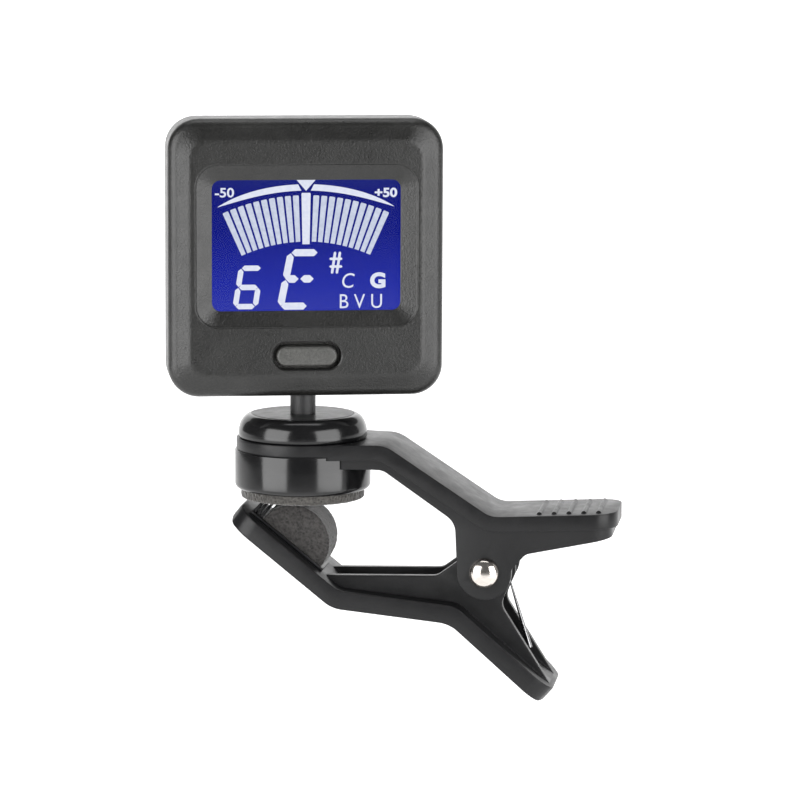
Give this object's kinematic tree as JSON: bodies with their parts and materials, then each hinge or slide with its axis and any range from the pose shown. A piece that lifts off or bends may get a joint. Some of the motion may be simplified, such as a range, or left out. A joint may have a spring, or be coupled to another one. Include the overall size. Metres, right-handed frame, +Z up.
{
  "type": "clip-on tuner",
  "caption": "Clip-on instrument tuner: a square head with a display tilts and turns on a stem above a sprung clip with a round foam pad and a half-round one.",
  "frame": {"origin": "centre of the upper pad's gripping face", "axes": "+Z up the swivel axis towards the head, +X along the clip towards its thumb levers, +Y along the clip's pivot rivet, away from the display side"},
  "size_m": [0.0683, 0.0208, 0.0862],
  "materials": {
    "arm_nylon": "moulded glass-filled nylon, satin",
    "gloss_black": "moulded ABS, polished",
    "disc_chrome": "black chrome plate, mirror",
    "foam": "closed-cell foam, cut",
    "case": "moulded ABS, spark-eroded grain",
    "stem": "moulded acetal, fine grain",
    "nickel": "nickel plated",
    "steel": "drawn or pressed, bright",
    "acetal": "turned, natural",
    "window": "polished acrylic",
    "lcd": "display glass with blue polariser",
    "backlight": "moulded light guide",
    "connector": "layered silicone",
    "board": "glass-epoxy with green solder mask",
    "chips": "moulded epoxy",
    "brass": "stamped"
  },
  "bodies": {
    "clip": {"upper_arm": "arm_nylon", "collar": "gloss_black", "pad_cup": "gloss_black", "upper_pad": "foam", "pivot_rivet": "nickel", "pivot_spacers": "acetal", "torsion_spring": "steel"},
    "jaw": {"lower_arm": "arm_nylon", "pad_tray": "arm_nylon", "lower_pad": "foam"},
    "swivel": {"stem": "stem", "swivel_disc": "disc_chrome", "swivel_washer": "steel", "swivel_screw": "steel"},
    "head": {"tilt_pin": "steel", "tilt_washers": "brass", "front_shell": "case", "rear_shell": "case", "screen_window": "window", "lcd_panel": "lcd", "backlight": "backlight", "lcd_connector": "connector", "circuit_board": "board", "board_components": "chips", "tact_switch": "steel", "piezo_sensor": "brass", "battery_holder": "chips", "coin_cell": "steel", "battery_contact_negative": "brass", "battery_contact_positive": "brass", "shell_screws": "steel"},
    "button": {"power_button": "case"},
    "hatch": {"battery_hatch": "case"}
  },
  "joints": [
    {"name": "jaw_hinge", "type": "hinge", "parent": "clip", "child": "jaw", "pos_m": [0.02825, 0, -0.00975], "axis": [0, -1, 0], "range_deg": [0, 30], "stiffness_Nm_per_rad": 0.15, "springref_deg": -28.65, "deforming": ["torsion_spring"]},
    {"name": "head_swivel", "type": "hinge", "parent": "clip", "child": "swivel", "pos_m": [0, 0, 0.0127], "axis": [0, 0, 1], "continuous": true},
    {"name": "head_tilt", "type": "hinge", "parent": "swivel", "child": "head", "pos_m": [-0.0003, 0.00116, 0.0239], "axis": [0.9681, 0.2504, 0], "range_deg": [-80, 10]},
    {"name": "button_press", "type": "slide", "parent": "head", "child": "button", "axis": [-0.2504, 0.9681, 0], "range_m": [0, 0.0003], "stiffness_N_per_m": 1500, "springref_m": -0.0003},
    {"name": "hatch_twist", "type": "hinge", "parent": "head", "child": "hatch", "pos_m": [-0.001, 0.00387, 0.04215], "axis": [-0.2504, 0.9681, 0], "range_deg": [0, 45]}
  ]
}
